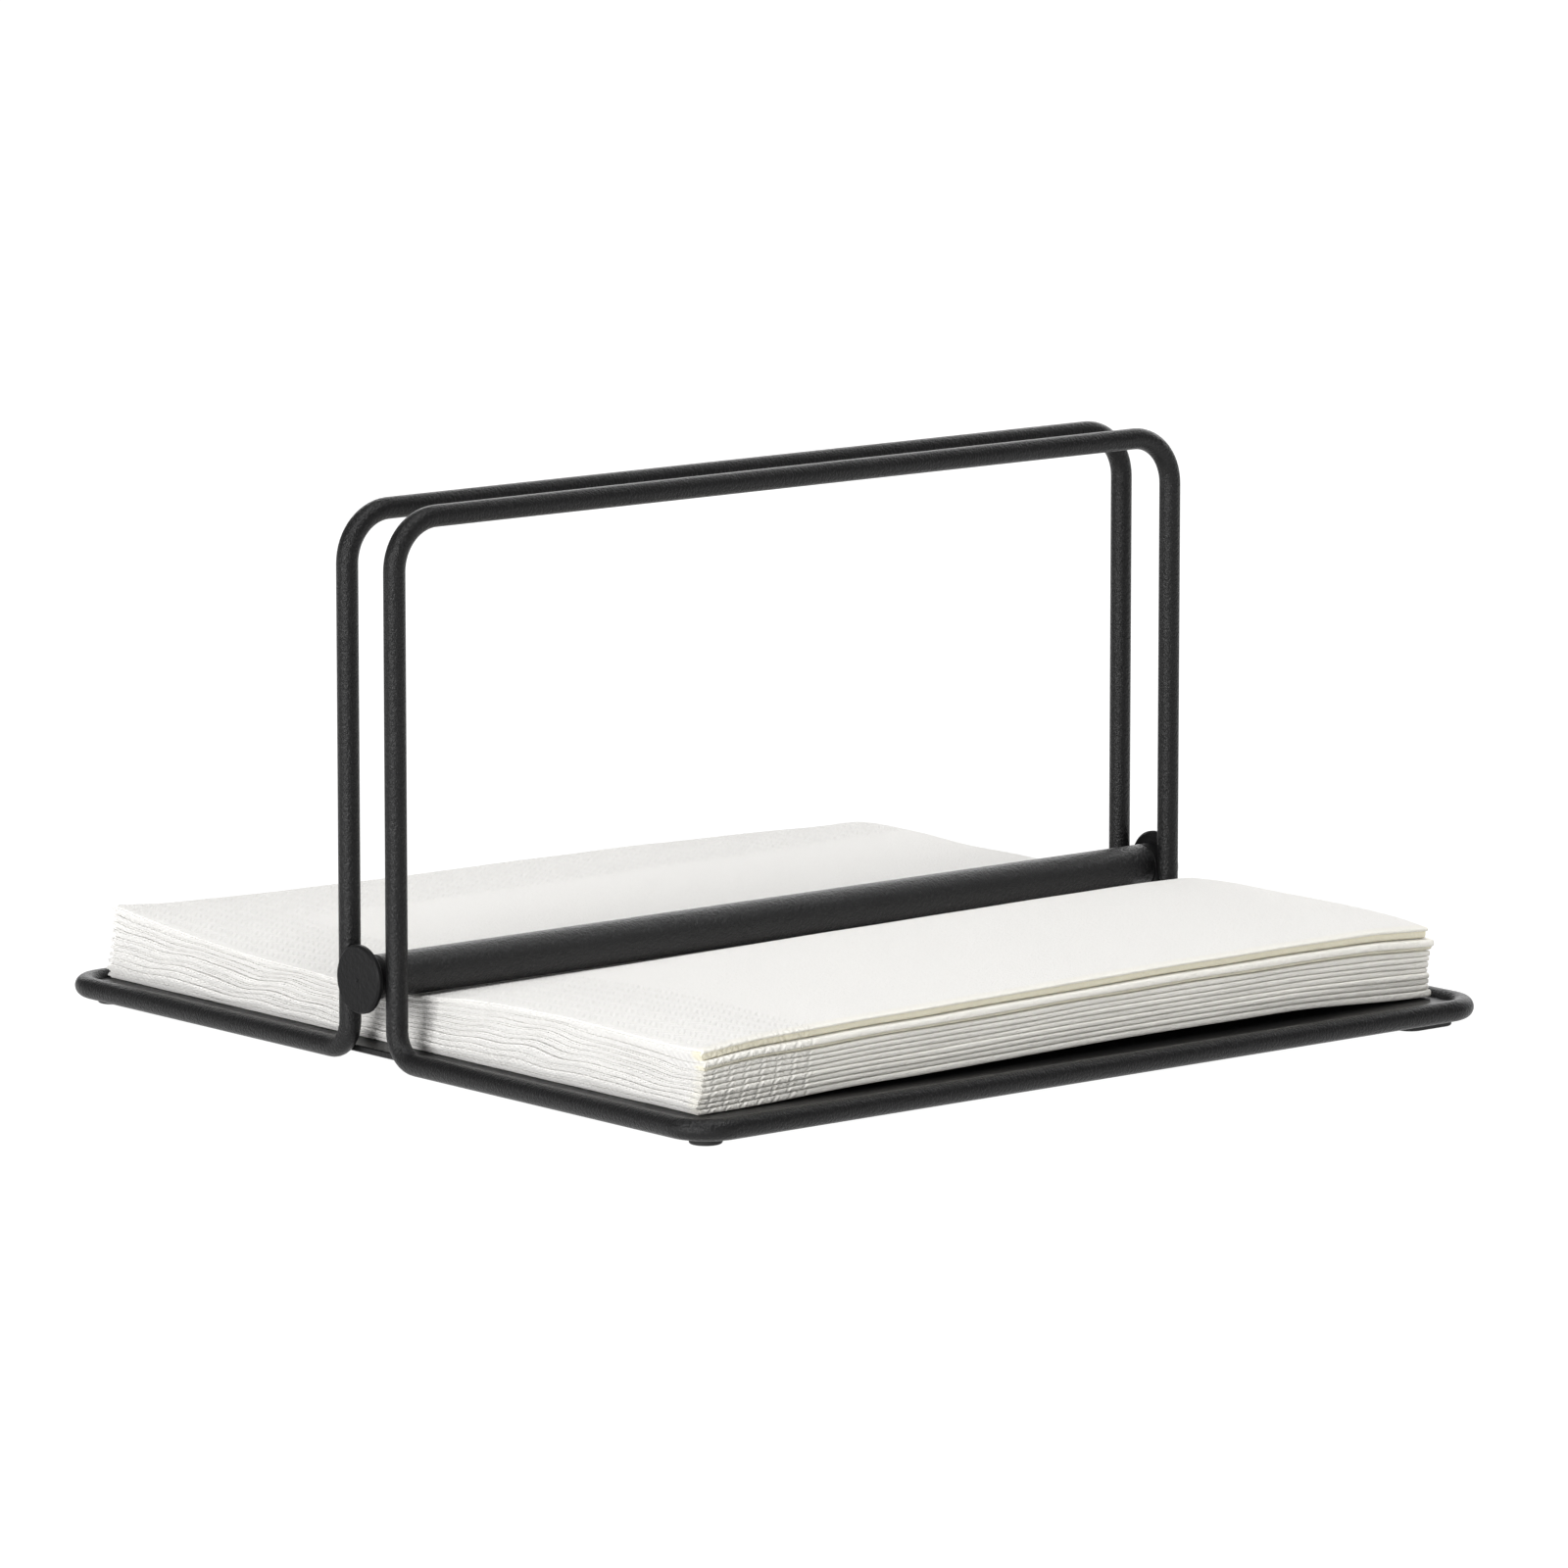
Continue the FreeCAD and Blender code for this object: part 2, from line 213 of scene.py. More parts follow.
# %% Rubber and bare steel
def plain_finish(name, tone, roughness, metallic, grain, depth):
    """A finish with one tone, broken up by a fine noise in its colour and its bump."""
    material, tree, shader = new_material(name)
    shader.inputs["Metallic"].default_value = metallic
    shader.inputs["Roughness"].default_value = roughness
    place = node(tree, "ShaderNodeTexCoord", (-900, 0))
    fine = node(tree, "ShaderNodeTexNoise", (-650, 0), scale=1 / grain, detail=4.0)
    tree.links.new(place.outputs["Object"], fine.inputs["Vector"])
    shade = node(tree, "ShaderNodeValToRGB", (-350, 150))
    shade.color_ramp.elements[0].color = (tone * 0.8, tone * 0.8, tone * 0.8, 1)
    shade.color_ramp.elements[1].color = (tone * 1.2, tone * 1.2, tone * 1.2, 1)
    tree.links.new(fine.outputs["Fac"], shade.inputs["Fac"])
    tree.links.new(shade.outputs["Color"], shader.inputs["Base Color"])
    bump = node(tree, "ShaderNodeBump", (-350, -200), strength=1.0, distance=depth)
    tree.links.new(fine.outputs["Fac"], bump.inputs["Height"])
    tree.links.new(bump.outputs["Normal"], shader.inputs["Normal"])
    return material


rubber = plain_finish("pad_rubber", tone=0.012, roughness=0.75, metallic=0.0,
                      grain=0.0004, depth=0.00003)
stud_steel = plain_finish("stud_steel", tone=0.45, roughness=0.35, metallic=1.0,
                          grain=0.0002, depth=0.00001)

# %% [markdown]
# ## Tissue paper
# Napkin tissue is white, soft and lets light through, so a little of its shader is
# Translucent. Deep in a fold, light that has passed through paper several times turns a warm
# cream. That shade is painted into the base colour, as strong as a mesh attribute says: a
# painted warm shade. A band of embossed zigzag rows runs round each sheet along its cut edges.
# It follows the flat sheet, so it reads the UV map, which gives the place on the unfolded
# square in metres. A fine noise stands for the fibres.

# %% Tissue material
EMBOSS_PITCH = 0.0015
EMBOSS_TURN = 0.0034
EMBOSS_BAND = 0.0255
EMBOSS_FADE = 0.003
EMBOSS_SHARE = 0.6
EMBOSS_DEPTH = 0.00016
FIBRE = 0.0006
FIBRE_SHARE = 2.2
BUMP_STRENGTH = 0.9
PAPER_ROUGHNESS = 0.9
PAPER_SHINE = 0.2
SEE_THROUGH = 0.3
PAPER_WHITE = (0.965, 0.955, 0.935, 1)
# The colour of the painted shade deep in the folds.
PAPER_PAINTED_SHADE = (1.0, 0.965, 0.81, 1)
SHEET_METRES = 0.33


def tissue_paper():
    """White tissue, with a painted warm cream shade mixed into its colour where the mesh marks a
    deep fold.
    """
    material, tree, shader = new_material("tissue")
    link = tree.links.new

    def maths(kind, first, second=None, at=(0, 0)):
        made = node(tree, "ShaderNodeMath", at, operation=kind)
        for k, value in enumerate((first, second)):
            if isinstance(value, (int, float)):
                made.inputs[k].default_value = value
            elif value is not None:
                link(value, made.inputs[k])
        return made.outputs["Value"]

    flat = node(tree, "ShaderNodeUVMap", (-2300, 0), uv_map="flat_sheet")
    split = node(tree, "ShaderNodeSeparateXYZ", (-2100, 0))
    link(flat.outputs["UV"], split.inputs["Vector"])
    u, v = split.outputs["X"], split.outputs["Y"]
    zigzag = maths("PINGPONG", u, EMBOSS_TURN / 2, (-1900, 200))
    slanted = maths("ADD", v, zigzag, (-1700, 200))
    rows = maths("MULTIPLY", slanted, 2 * math.pi / EMBOSS_PITCH, (-1500, 200))
    stripes = maths("SINE", rows, None, (-1300, 200))
    edge_u = maths("MINIMUM", u, maths("SUBTRACT", SHEET_METRES, u, (-1500, -500)), (-1300, -500))
    edge_v = maths("MINIMUM", v, maths("SUBTRACT", SHEET_METRES, v, (-1500, -650)), (-1300, -650))
    edge = maths("MINIMUM", edge_u, edge_v, (-1100, -550))
    band = node(tree, "ShaderNodeMapRange", (-900, -550), interpolation_type="SMOOTHSTEP")
    band.inputs["From Min"].default_value = EMBOSS_BAND
    band.inputs["From Max"].default_value = EMBOSS_BAND - EMBOSS_FADE
    band.inputs["To Max"].default_value = EMBOSS_SHARE
    link(edge, band.inputs["Value"])
    emboss = maths("MULTIPLY", stripes, band.outputs["Result"], (-700, 0))
    place = node(tree, "ShaderNodeTexCoord", (-1100, -800))
    fibre = node(tree, "ShaderNodeTexNoise", (-900, -800),
                 scale=1 / FIBRE, detail=4.0, roughness=0.65)
    link(place.outputs["Object"], fibre.inputs["Vector"])
    fibres = maths("MULTIPLY", fibre.outputs["Fac"], FIBRE_SHARE, (-700, -800))
    height = maths("ADD", emboss, fibres, (-500, -300))
    bump = node(tree, "ShaderNodeBump", (-300, -300), strength=BUMP_STRENGTH, distance=EMBOSS_DEPTH)
    link(height, bump.inputs["Height"])
    # Painted shade: the fold attribute mixes warm cream into the base colour, standing in for light
    # bounced deep inside the folds.
    depth = node(tree, "ShaderNodeAttribute", (-900, 400), attribute_name="painted_fold_shade")
    tint = node(tree, "ShaderNodeMix", (-500, 400), data_type="RGBA")
    tint.inputs["A"].default_value = PAPER_WHITE
    tint.inputs["B"].default_value = PAPER_PAINTED_SHADE
    link(depth.outputs["Fac"], tint.inputs["Factor"])
    link(tint.outputs["Result"], shader.inputs["Base Color"])
    link(bump.outputs["Normal"], shader.inputs["Normal"])
    shader.inputs["Roughness"].default_value = PAPER_ROUGHNESS
    shader.inputs["Specular IOR Level"].default_value = PAPER_SHINE
    glow = node(tree, "ShaderNodeBsdfTranslucent", (0, -400))
    link(tint.outputs["Result"], glow.inputs["Color"])
    link(bump.outputs["Normal"], glow.inputs["Normal"])
    blend = node(tree, "ShaderNodeMixShader", (300, 0))
    blend.inputs["Fac"].default_value = SEE_THROUGH
    link(shader.outputs["BSDF"], blend.inputs[1])
    link(glow.outputs["BSDF"], blend.inputs[2])
    link(blend.outputs["Shader"], tree.nodes["Material Output"].inputs["Surface"])
    return material


tissue = tissue_paper()
print("tissue emboss pitch in millimetres:", EMBOSS_PITCH / MM)

# %% [markdown]
# ## The two wire frames
# Each frame is one steel wire, bent six times and butt welded into a loop: a tall hoop whose
# legs turn out at table height and run round half of the base. A wire is a path with a round
# section, so Geometry Nodes sweep it: the six corners become a curve, Fillet Curve gives
# each corner its own bend, and Curve to Mesh draws the round section along it. Each corner
# carries its bend as an attribute, and the thickness, the step, the number of sides and the
# coat are named inputs. The centre lines come from the model's own boxes.

# %% Sizes of the wires, from the frame
front_low, front_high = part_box("front_frame")
rod_low, rod_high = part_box("weight_rod")
WIRE = 3.8 * MM
HOOP_BEND = 8.8 * MM
LEG_BEND = 5.2 * MM
BASE_BEND = 6.5 * MM
side_x = front_high.x - WIRE / 2
hoop_y = front_high.y - WIRE / 2
base_y = front_low.y + WIRE / 2
base_z = front_low.z + WIRE / 2
hoop_z = front_high.z - WIRE / 2
print("wire centres in millimetres: x", round(side_x / MM, 2),
      "hoop y", round(hoop_y / MM, 2), "top z", round(hoop_z / MM, 2))


# %% The wire sweep as Geometry Nodes
BEND_STEPS = 24
WIRE_STEP = 0.9 * MM
WIRE_SIDES = 40


def wire_tree():
    """Curve with a bend radius at each corner in, round wire out."""
    tree = bpy.data.node_groups.new("wire_sweep", "GeometryNodeTree")
    face = tree.interface
    face.new_socket("Geometry", in_out="INPUT", socket_type="NodeSocketGeometry")
    face.new_socket("Wire Radius", in_out="INPUT", socket_type="NodeSocketFloat")
    face.new_socket("Step", in_out="INPUT", socket_type="NodeSocketFloat")
    face.new_socket("Sides", in_out="INPUT", socket_type="NodeSocketInt")
    face.new_socket("Coat", in_out="INPUT", socket_type="NodeSocketMaterial")
    face.new_socket("Geometry", in_out="OUTPUT", socket_type="NodeSocketGeometry")
    given = node(tree, "NodeGroupInput", (-1200, 0))
    bends = node(tree, "GeometryNodeInputNamedAttribute", (-1000, -200), data_type="FLOAT")
    bends.inputs["Name"].default_value = "bend"
    path = node(tree, "GeometryNodeMeshToCurve", (-1000, 0))
    round_off = node(tree, "GeometryNodeFilletCurve", (-800, 0), mode="POLY")
    round_off.inputs["Count"].default_value = BEND_STEPS
    section = node(tree, "GeometryNodeCurvePrimitiveCircle", (-600, -250))
    sweep = node(tree, "GeometryNodeCurveToMesh", (-200, 0))
    smooth = node(tree, "GeometryNodeSetShadeSmooth", (0, 0))
    single = node(tree, "GeometryNodeRealizeInstances", (200, 0))
    coat = node(tree, "GeometryNodeSetMaterial", (400, 0))
    done = node(tree, "NodeGroupOutput", (600, 0))
    finer = node(tree, "GeometryNodeResampleCurve", (-500, 0), mode="LENGTH")
    link = tree.links.new
    link(given.outputs["Geometry"], path.inputs["Mesh"])
    link(path.outputs["Curve"], round_off.inputs["Curve"])
    link(bends.outputs["Attribute"], round_off.inputs["Radius"])
    link(round_off.outputs["Curve"], finer.inputs["Curve"])
    link(given.outputs["Step"], finer.inputs["Length"])
    link(given.outputs["Wire Radius"], section.inputs["Radius"])
    link(given.outputs["Sides"], section.inputs["Resolution"])
    link(finer.outputs["Curve"], sweep.inputs["Curve"])
    link(section.outputs["Curve"], sweep.inputs["Profile Curve"])
    link(sweep.outputs["Mesh"], smooth.inputs["Geometry"])
    link(smooth.outputs["Geometry"], single.inputs["Geometry"])
    link(single.outputs["Geometry"], coat.inputs["Geometry"])
    link(given.outputs["Coat"], coat.inputs["Material"])
    link(coat.outputs["Geometry"], done.inputs["Geometry"])
    return tree


sweep_tree = wire_tree()
print("nodes in the wire sweep:", len(sweep_tree.nodes))


# %% Sweep both frames
def plain_object(name, points, edges, faces):
    """A mesh object at the origin, from lists or arrays of points, edges and faces."""
    mesh = bpy.data.meshes.new(name)
    mesh.from_pydata(points, edges, faces)
    made = bpy.data.objects.new(name, mesh)
    bpy.context.scene.collection.objects.link(made)
    return made


def settle(piece):
    """Turns the result of a piece's modifiers into its own plain mesh."""
    graph = bpy.context.evaluated_depsgraph_get()
    result = bpy.data.meshes.new_from_object(piece.evaluated_get(graph), depsgraph=graph)
    result.name = piece.name
    piece.modifiers.clear()
    piece.data = result
    return piece


def frame_wire(name, side, replaced):
    """One closed wire; side is -1 for the front frame and 1 for the rear one."""
    corners = [
        (-side_x, side * -hoop_y, hoop_z, HOOP_BEND),
        (side_x, side * -hoop_y, hoop_z, HOOP_BEND),
        (side_x, side * -hoop_y, base_z, LEG_BEND),
        (side_x, side * -base_y, base_z, BASE_BEND),
        (-side_x, side * -base_y, base_z, BASE_BEND),
        (-side_x, side * -hoop_y, base_z, LEG_BEND),
    ]
    loop = [(k, (k + 1) % len(corners)) for k in range(len(corners))]
    piece = plain_object(name, [c[:3] for c in corners], loop, [])
    bend = piece.data.attributes.new("bend", "FLOAT", "POINT")
    bend.data.foreach_set("value", [c[3] for c in corners])
    sweep = piece.modifiers.new("sweep", "NODES")
    sweep.node_group = sweep_tree
    sizes = {"Wire Radius": WIRE / 2, "Step": WIRE_STEP, "Sides": WIRE_SIDES, "Coat": wire_coat}
    for socket in sweep_tree.interface.items_tree:
        if socket.name in sizes:
            sweep[socket.identifier] = sizes[socket.name]
    settle(piece)
    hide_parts(replaced)
    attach(piece, "holder")
    print(name, "faces:", len(piece.data.polygons))


frame_wire("front_wire", -1, "front_frame")
frame_wire("rear_wire", 1, "rear_frame")

# %% [markdown]
# ## The weight bar and its turned parts
# The bar is a steel rod with a turned cap on each end, and a hidden stud inside that holds
# the two together. Turned parts are all outline: a half profile spun round the bar's axis.
# A lathe leaves a small chamfer on every edge, which is the thin bright line round the disc,
# and a dimple where the centre drill was.


# %% A lathe for turned parts
def soften(piece, sharp_degrees=30):
    """Outward faces and smooth shading, with crisp lines where the surface really turns."""
    shape = bmesh.new()
    shape.from_mesh(piece.data)
    bmesh.ops.remove_doubles(shape, verts=shape.verts, dist=1e-7)
    bmesh.ops.recalc_face_normals(shape, faces=shape.faces)
    shape.to_mesh(piece.data)
    shape.free()
    piece.data.shade_smooth()
    piece.data.set_sharp_from_angle(angle=math.radians(sharp_degrees))
    return piece


def turned(name, outline, side, coat, sides=128):
    """Spins (x, radius) points, pole to pole, round the bar's axis; side -1 mirrors them."""
    around = np.linspace(0, 2 * math.pi, sides, endpoint=False)
    points, rings = [], []
    for x, radius in outline:
        rings.append(len(points))
        if radius == 0:
            points.append((side * x, 0, bar_z))
        else:
            points += [(side * x, radius * math.cos(a), bar_z + radius * math.sin(a))
                       for a in around]
    faces = []
    radii = [radius for _, radius in outline]
    for near, far, near_radius, far_radius in zip(rings, rings[1:], radii, radii[1:]):
        for k in range(sides):
            after = (k + 1) % sides
            if near_radius == 0:
                faces.append((near, far + after, far + k))
            elif far_radius == 0:
                faces.append((near + k, near + after, far))
            else:
                faces.append((near + k, near + after, far + after, far + k))
    piece = plain_object(name, points, [], faces)
    piece.data.materials.append(coat)
    return soften(piece)


def place_piece(piece, replaced, body):
    """What every finished piece says: what it stands for and what it rides on."""
    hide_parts(replaced)
    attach(piece, body)


# %% Rod, caps and studs
bar_z = (rod_low.z + rod_high.z) / 2
bar_radius = (rod_high.z - rod_low.z) / 2
rod_end = rod_high.x
cap_low, cap_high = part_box("end_cap_right")
stud_low, stud_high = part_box("stud_right")
disc_radius = (cap_high.z - cap_low.z) / 2
stud_radius = (stud_high.z - stud_low.z) / 2
EDGE_BREAK = 0.2 * MM
DISC_THICKNESS = 1.3 * MM
DISC_CHAMFER = 0.35 * MM
DIMPLE_RADIUS = 0.45 * MM
DIMPLE_DEPTH = 0.35 * MM
BORE_RADIUS = 2.0 * MM
BORE_IN_CAP = 3.0 * MM
BORE_IN_ROD = 9.0 * MM

rod_half = [
    (rod_end - BORE_IN_ROD, 0),
    (rod_end - BORE_IN_ROD, BORE_RADIUS),
    (rod_end, BORE_RADIUS),
    (rod_end, bar_radius - EDGE_BREAK),
    (rod_end - EDGE_BREAK, bar_radius),
]
rod_outline = [(-x, radius) for x, radius in rod_half] + rod_half[::-1]
rod = turned("weight_bar_rod", rod_outline, 1, bar_coat)
place_piece(rod, "weight_rod", "weight_bar")

disc_inner = cap_high.x - DISC_THICKNESS
cap_outline = [
    (rod_end + BORE_IN_CAP, 0),
    (rod_end + BORE_IN_CAP, BORE_RADIUS),
    (rod_end, BORE_RADIUS),
    (rod_end, bar_radius - EDGE_BREAK),
    (rod_end + EDGE_BREAK, bar_radius),
    (disc_inner, bar_radius),
    (disc_inner, disc_radius - DISC_CHAMFER),
    (disc_inner + DISC_CHAMFER, disc_radius),
    (cap_high.x - DISC_CHAMFER, disc_radius),
    (cap_high.x, disc_radius - DISC_CHAMFER),
    (cap_high.x, DIMPLE_RADIUS),
    (cap_high.x - DIMPLE_DEPTH, 0),
]
stud_outline = [
    (stud_low.x, 0),
    (stud_low.x, stud_radius),
    (stud_high.x, stud_radius),
    (stud_high.x, 0),
]
for side, hand in ((-1, "left"), (1, "right")):
    cap = turned(f"bar_cap_{hand}", cap_outline, side, disc_coat)
    place_piece(cap, f"end_cap_{hand}", "weight_bar")
    stud = turned(f"joining_stud_{hand}", stud_outline, side, stud_steel, sides=48)
    place_piece(stud, f"stud_{hand}", "weight_bar")
print("bar", round(2 * cap_high.x / MM, 1), "mm over its caps,",
      round(2 * bar_radius / MM, 1), "mm thick")

# %% [markdown]
# ## Base plate and pads
# The plate is pressed steel sheet with rounded corners, welded inside the wires. Four
# oblong rubber pads are glued under it, and they are what the dispenser stands on. Both are
# a flat outline at several heights, drawn in a little at the edges.


# %% Pieces built from an outline at several heights
SMALLEST_CORNER = 0.05 * MM
OUTLINE_SHARP_DEGREES = 40


def oblong(length, width, corner, steps=10):
    """The outline of a rectangle with round corners, about the origin."""
    outline = []
    for quarter, (sx, sy) in enumerate(((1, 1), (-1, 1), (-1, -1), (1, -1))):
        for k in range(steps + 1):
            angle = (quarter + k / steps) * math.pi / 2
            outline.append((sx * (length / 2 - corner) + corner * math.cos(angle),
                            sy * (width / 2 - corner) + corner * math.sin(angle)))
    return outline


def stacked(name, length, width, corner, levels, centre, turn, coat):
    """An outline repeated at each level, a pair of its height and how far it draws in."""
    points, faces = [], []
    for height, inset in levels:
        sharper = max(corner - inset, SMALLEST_CORNER)
        for x, y in oblong(length - 2 * inset, width - 2 * inset, sharper):
            points.append((centre[0] + x * math.cos(turn) - y * math.sin(turn),
                           centre[1] + x * math.sin(turn) + y * math.cos(turn), height))
    count = len(points) // len(levels)
    for level in range(len(levels) - 1):
        for k in range(count):
            after = (k + 1) % count
            low, high = level * count, (level + 1) * count
            faces.append((low + k, low + after, high + after, high + k))
    faces.append(tuple(reversed(range(count))))
    faces.append(tuple(range(len(points) - count, len(points))))
    piece = plain_object(name, points, [], faces)
    piece.data.materials.append(coat)
    return soften(piece, OUTLINE_SHARP_DEGREES)


# %% Plate and pads
PLATE_CORNER = 4.85 * MM
PLATE_EDGE = 0.2 * MM
PAD_LENGTH = 11.8 * MM
PAD_WIDTH = 5.6 * MM
PAD_ROUND = 0.3 * MM

plate_low, plate_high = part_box("base_plate")
plate_levels = [
    (plate_low.z, PLATE_EDGE),
    (plate_low.z + PLATE_EDGE, 0),
    (plate_high.z - PLATE_EDGE, 0),
    (plate_high.z, PLATE_EDGE),
]
plate_size = plate_high - plate_low
plate = stacked("pressed_plate", plate_size.x, plate_size.y, PLATE_CORNER,
                plate_levels, (0, 0), 0, plate_coat)
place_piece(plate, "base_plate", "holder")

pad_levels = [(PAD_ROUND * (1 - math.sin(a)), PAD_ROUND * (1 - math.cos(a)))
              for a in np.linspace(math.pi / 2, 0, 7)]
for foot, turn in (("front_left", 1), ("front_right", 0), ("rear_left", -1), ("rear_right", 1)):
    low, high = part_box(f"foot_{foot}")
    pad = stacked(f"pad_{foot}", PAD_LENGTH, PAD_WIDTH, PAD_WIDTH / 2, pad_levels + [(high.z, 0)],
                  ((low.x + high.x) / 2, (low.y + high.y) / 2), turn * math.pi / 4, rubber)
    place_piece(pad, f"foot_{foot}", "holder")
print("plate", [round(v / MM, 1) for v in plate_size], "and four pads")

# %% [markdown]
# ## Folded napkins
# Each napkin is one square of tissue, 330 mm each way, folded in half and in half again to
# 165 mm. The first fold lies on the right, the second one faces the front, so the front shows
# one round fold for each napkin, and the left side shows four cut edges for each. A flat
# grid on the square is rolled round the first fold, then round the second. Cloth simulation
# could fold a sheet too, but forty layers in twelve millimetres would fight each other, and
# a formula keeps every layer clear of the next one.
#
# Lengths from here on are in millimetres. ROLL is the height of one layer inside a fold, and
# SQUARE_NOSE below 1 makes each front fold blunt, as pressed paper is. PILLOW draws the
# outer layers of a napkin in at its cut edges, so that each napkin reads as a soft roll.
# SPLAY is how far the cut edges of some napkins stand out to the left, the lowest the most.
# TUCKS says which napkins have the lower part of their front fold pushed back under their
# own top layers: how deep, and between which shares of the napkin's height the tuck ends.

# %% The sheet and its grid
SHEET = 330.0
HALF = SHEET / 2
NAPKINS = 10
ROLL = 0.30
SQUARE_NOSE = 0.32
PILLOW = 0.60
SPLAY = {1: 1.7, 2: 1.3, 3: 1.0, 4: 0.7, 5: 0.45, 6: 0.25, 9: 0.6}
TUCKS = {9: (0.6, 0.36, 0.50), 10: (0.8, 0.62, 0.80)}


EDGE_STATIONS = (0, 0.35, 0.9, 1.8)


def stations(fine, fine_count, growth, widest):
    """Distances from the fold to the cut edge: fine at the fold and again at the edge."""
    ends = [HALF - back for back in EDGE_STATIONS]
    step, at, out = fine, 0.0, [0.0]
    while at < ends[-1] - widest:
        at += step
        out.append(at)
        if len(out) > fine_count:
            step = min(step * growth, widest)
    out += ends[::-1]
    return np.array([-v for v in out[:0:-1]] + out)


across_fold = stations(fine=0.06, fine_count=4, growth=1.45, widest=2.3)
along_fold = stations(fine=0.09, fine_count=9, growth=1.4, widest=2.3)
print("grid:", len(across_fold), "by", len(along_fold), "points on each side of a sheet")

# %% [markdown]
# The stack is not a block. The bar presses a groove across it, the paper puffs up on both
# sides, and the corners droop. A small net of given heights holds that shape: one row for each
# line across the stack, from the front edge to the rear one. Smooth cubic weights between the
# net's points turn it into a surface.

# %% The shape of the stack
NET_X = np.array([-80.5, -66.0, -20.0, 30.0, 70.0, 84.5])
NET_Y = np.array([-79.1, -70.0, -45.0, -18.0, -8.0, 0.0, 8.0, 20.0, 44.0, 60.0, 75.0, 85.9])
NET_TOP = np.array([
    [14.8, 15.7, 16.6, 17.2, 17.3, 16.6],
    [14.5, 15.9, 16.9, 17.5, 17.8, 17.5],
    [15.0, 16.2, 17.1, 17.7, 17.9, 17.8],
    [14.4, 15.4, 16.6, 17.2, 17.4, 17.3],
    [13.4, 13.9, 14.6, 14.9, 15.2, 15.0],
    [12.7, 12.7, 12.7, 12.7, 12.7, 12.7],
    [12.8, 13.0, 13.2, 13.5, 13.8, 13.8],
    [12.6, 13.3, 13.9, 14.5, 14.9, 15.0],
    [13.3, 14.2, 14.6, 15.0, 15.2, 15.2],
    [14.2, 14.9, 15.0, 15.2, 15.5, 15.8],
    [15.5, 15.6, 15.1, 15.0, 15.1, 15.5],
    [16.8, 15.8, 14.9, 14.6, 13.8, 13.0],
])


def weights(at, knots):
    """How much each knot counts at each place: cubic, smooth, and exact at the knots."""
    count = len(knots)
    at = np.clip(at, knots[0], knots[-1])
    left = np.clip(np.searchsorted(knots, at, side="right") - 1, 0, count - 2)
    gap = (knots[left + 1] - knots[left])[:, None]
    s = (at[:, None] - knots[left][:, None]) / gap
    here = np.eye(count)
    slope = np.zeros((count, count))
    for k in range(count):
        low, high = max(k - 1, 0), min(k + 1, count - 1)
        slope[k, high] += 1 / (knots[high] - knots[low])
        slope[k, low] -= 1 / (knots[high] - knots[low])
    return (
        (1 + 2 * s) * (1 - s) ** 2 * here[left]
        + s * (1 - s) ** 2 * gap * slope[left]
        + s * s * (3 - 2 * s) * here[left + 1]
        + s * s * (s - 1) * gap * slope[left + 1]
    )


def net_height(x, y):
    """The height of the top of the stack above the table."""
    flat = (weights(y.ravel(), NET_Y) @ NET_TOP) * weights(x.ravel(), NET_X)
    return flat.sum(axis=1).reshape(x.shape)


def ripple(x, y, seed, longest, waves=5):
    """Soft random waves between -1 and 1, always the same for the same seed."""
    chance = np.random.default_rng(seed)
    total = np.zeros(np.broadcast(x, y).shape)
    for _ in range(waves):
        length = longest * chance.uniform(0.45, 1.0)
        heading, phase = chance.uniform(0, 2 * math.pi, 2)
        along = x * math.cos(heading) + y * math.sin(heading)
        total = total + np.sin(2 * math.pi * along / length + phase)
    return total / waves


def ease(value, start, end):
    """Goes smoothly from 0 at start to 1 at end."""
    s = np.clip((value - start) / (end - start), 0, 1)
    return s * s * (3 - 2 * s)


# %% [markdown]
# Between the plate and that surface lie nine more, one between each napkin and the next. At
# the back they share the height evenly. At the front each has its own share, because the two
# top napkins are puffed up. The lowest fold also stands a little off the plate along the
# front, and comes down to it towards both ends. Slow waves set the surfaces apart from each
# other. They are strongest at the left, where the cut edges are free, and they fade out
# under the bar.

# %% The boundaries between napkins
PLATE_TOP = plate_high.z / MM
PLATE_GAP = 0.06
NAPKIN_GAP = 0.015
FRONT_SHARES = np.array([0.0, 0.105, 0.185, 0.265, 0.345, 0.425, 0.505, 0.585, 0.665, 0.825, 1.0])
FRONT_LIFT = 1.5
LIFT_DROP = 0.84
SHEET_WAVE = 0.16
STACK_WAVE = 0.10
LEFT_WAVE = 0.85
front_y = NET_Y[0]
left_x, right_x = NET_X[0], NET_X[-1]


def boundary(k, x, y):
    """The surface between napkin k and napkin k + 1: 0 is the plate, 10 is the top."""
    rise = 0.5 * ease(x, left_x + 5, left_x + 40) + 0.5 * ease(x, -45, 20)
    lifted = rise * (1 - LIFT_DROP * ease(x, 50, right_x))
    bottom = PLATE_TOP + PLATE_GAP + FRONT_LIFT * lifted * ease(-y, 50, 79)
    top = net_height(x, y)
    loose = 1 - ease(y, front_y + 2, front_y + 45)
    share = k / NAPKINS * (1 - loose) + FRONT_SHARES[k] * loose
    middle = 4 * share * (1 - share)
    open_air = ease(abs(y), 4, 20)
    near_left = 1 - ease(x, left_x, left_x + 35)
    wave = SHEET_WAVE * middle * ripple(x, y, 40 + k, 45)
    wave = wave + STACK_WAVE * ripple(x, y, 7, 38) * share
    wave = wave + LEFT_WAVE * middle * near_left * ripple(y + 1.5 * k, 0.35 * x, 140, 26)
    return bottom + (top - bottom) * share + wave * open_air


def napkin_sides(number, x, y):
    """Heights of the underside and the top side of one folded napkin."""
    under = boundary(number - 1, x, y)
    over = boundary(number, x, y)
    return under + NAPKIN_GAP, over - NAPKIN_GAP


